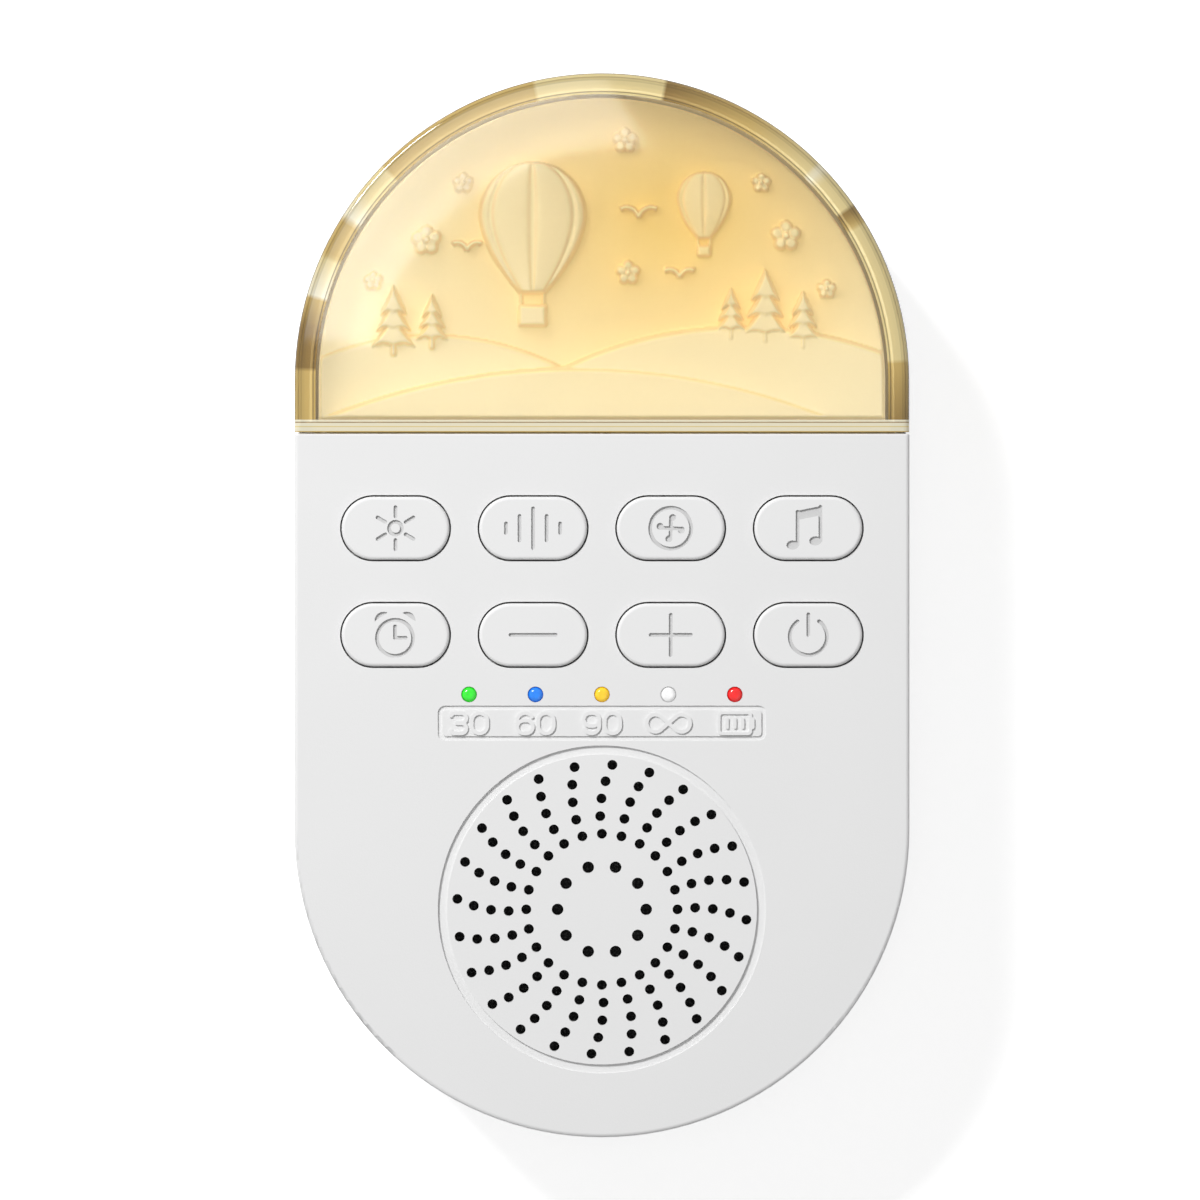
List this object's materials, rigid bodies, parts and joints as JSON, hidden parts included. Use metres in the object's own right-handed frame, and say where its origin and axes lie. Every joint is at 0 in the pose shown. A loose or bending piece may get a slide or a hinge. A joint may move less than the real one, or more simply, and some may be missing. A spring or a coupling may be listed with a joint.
{
  "type": "white noise sound machine",
  "caption": "Pocket sound machine with round ends: white body with push buttons, indicator lamps and a round speaker grille, and a clear-covered night lamp over a cream relief panel.",
  "frame": {"origin": "on the surface that the feet stand on, under the middle of the case, which lies on its back", "axes": "+Z out of the front face, +Y towards the lamp end, +X to the right of the front face"},
  "size_m": [0.075, 0.1298, 0.0283],
  "materials": {
    "body_white": "fine-textured white plastic",
    "key_white": "smooth white plastic",
    "cover_clear": "clear polished plastic",
    "panel_cream": "translucent cream plastic",
    "tray_white": "white light box plastic",
    "diode_warm": "warm white lamp diodes",
    "board_green": "solder-masked board",
    "black_plastic": "black plastic",
    "steel": "plated steel",
    "plated_zinc": "bright plating",
    "ferrite": "dark ferrite",
    "copper": "enamelled copper",
    "paper_black": "pressed paper",
    "rubber_black": "black rubber",
    "rubber_grey": "grey rubber",
    "cloth_black": "black woven cloth",
    "cloth_amber": "resin-stiffened cloth",
    "foam_black": "soft foam",
    "cell_silver": "foil pouch",
    "wire_red": "insulated wire",
    "wire_white": "insulated wire",
    "indicator_green": "green diode",
    "indicator_blue": "blue diode",
    "indicator_yellow": "yellow diode",
    "indicator_white": "white diode",
    "indicator_red": "red diode"
  },
  "bodies": {
    "case": {"front_shell": "body_white", "rear_shell": "body_white", "lamp_cover": "cover_clear", "relief_panel": "panel_cream", "lamp_tray": "tray_white", "lamp_board": "tray_white", "lamp_diodes": "diode_warm", "switch_bodies": "black_plastic", "main_board": "board_green", "board_chips": "black_plastic", "board_capacitors": "plated_zinc", "socket_shell": "steel", "socket_tongue": "black_plastic", "indicator_legs": "plated_zinc", "grille_cloth": "cloth_black", "speaker_gasket": "foam_black", "speaker_frame": "steel", "speaker_top_plate": "steel", "speaker_magnet": "ferrite", "speaker_yoke": "steel", "speaker_surround": "rubber_black", "speaker_spider": "cloth_amber", "speaker_terminals": "board_green", "speaker_washers": "plated_zinc", "speaker_screws": "steel", "battery_cell": "cell_silver", "battery_pad": "foam_black", "wire_sockets": "tray_white", "speaker_leads": "wire_red", "lamp_leads": "wire_white", "battery_leads": "wire_red", "case_screws": "steel", "board_screws": "steel", "tray_screws": "steel", "rubber_feet": "rubber_grey", "indicator_green": "indicator_green", "indicator_blue": "indicator_blue", "indicator_yellow": "indicator_yellow", "indicator_white": "indicator_white", "indicator_red": "indicator_red"},
    "speaker_cone": {"speaker_cone": "paper_black", "speaker_dust_cap": "paper_black", "voice_coil": "copper"},
    "button_light": {"key_light": "key_white", "plunger_light": "black_plastic"},
    "button_noise": {"key_noise": "key_white", "plunger_noise": "black_plastic"},
    "button_fan": {"key_fan": "key_white", "plunger_fan": "black_plastic"},
    "button_music": {"key_music": "key_white", "plunger_music": "black_plastic"},
    "button_timer": {"key_timer": "key_white", "plunger_timer": "black_plastic"},
    "button_minus": {"key_minus": "key_white", "plunger_minus": "black_plastic"},
    "button_plus": {"key_plus": "key_white", "plunger_plus": "black_plastic"},
    "button_power": {"key_power": "key_white", "plunger_power": "black_plastic"}
  },
  "joints": [
    {"name": "cone_stroke", "type": "slide", "parent": "case", "child": "speaker_cone", "axis": [0, 0, 1], "range_m": [-0.0005, 0.0005], "stiffness_N_per_m": 1200, "deforming": ["speaker_surround", "speaker_spider"]},
    {"name": "press_light", "type": "slide", "parent": "case", "child": "button_light", "axis": [0, 0, -1], "range_m": [0, 0.0005], "stiffness_N_per_m": 2000},
    {"name": "press_noise", "type": "slide", "parent": "case", "child": "button_noise", "axis": [0, 0, -1], "range_m": [0, 0.0005], "stiffness_N_per_m": 2000},
    {"name": "press_fan", "type": "slide", "parent": "case", "child": "button_fan", "axis": [0, 0, -1], "range_m": [0, 0.0005], "stiffness_N_per_m": 2000},
    {"name": "press_music", "type": "slide", "parent": "case", "child": "button_music", "axis": [0, 0, -1], "range_m": [0, 0.0005], "stiffness_N_per_m": 2000},
    {"name": "press_timer", "type": "slide", "parent": "case", "child": "button_timer", "axis": [0, 0, -1], "range_m": [0, 0.0005], "stiffness_N_per_m": 2000},
    {"name": "press_minus", "type": "slide", "parent": "case", "child": "button_minus", "axis": [0, 0, -1], "range_m": [0, 0.0005], "stiffness_N_per_m": 2000},
    {"name": "press_plus", "type": "slide", "parent": "case", "child": "button_plus", "axis": [0, 0, -1], "range_m": [0, 0.0005], "stiffness_N_per_m": 2000},
    {"name": "press_power", "type": "slide", "parent": "case", "child": "button_power", "axis": [0, 0, -1], "range_m": [0, 0.0005], "stiffness_N_per_m": 2000}
  ]
}
